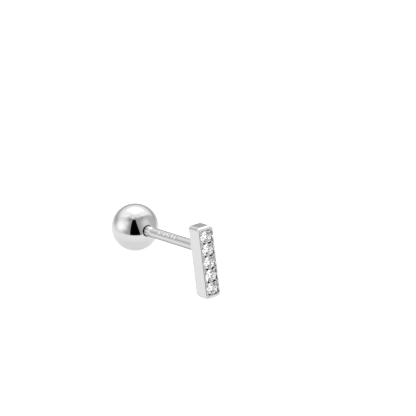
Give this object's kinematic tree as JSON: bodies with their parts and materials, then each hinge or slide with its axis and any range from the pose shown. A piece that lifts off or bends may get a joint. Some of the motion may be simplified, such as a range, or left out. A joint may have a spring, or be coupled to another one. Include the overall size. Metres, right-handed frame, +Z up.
{
  "type": "bar stud earring",
  "caption": "Upright polished silver bar stud with a row of bead-set round clear stones down its front and a straight post with a screw-on ball back.",
  "frame": {"origin": "under the middle of the earring, on the plane that the ball and the lower back edge of the bar stand on", "axes": "+Y from the stoned front of the bar back towards the ball, +X along the width of the bar, +Z up"},
  "size_m": [0.004, 0.0136, 0.0062],
  "materials": {
    "silver": "mirror-polished sterling silver",
    "clear_stone": "cut and polished clear stone"
  },
  "bodies": {
    "ball": {"ball_back": "silver"},
    "stud": {"bar_stud": "silver", "stone_1": "clear_stone", "stone_2": "clear_stone", "stone_3": "clear_stone", "stone_4": "clear_stone", "stone_5": "clear_stone"}
  },
  "joints": [
    {"name": "unscrew", "type": "slide", "parent": "ball", "child": "stud", "axis": [0, -0.9766, 0.2151], "range_m": [0, 0.008]}
  ]
}
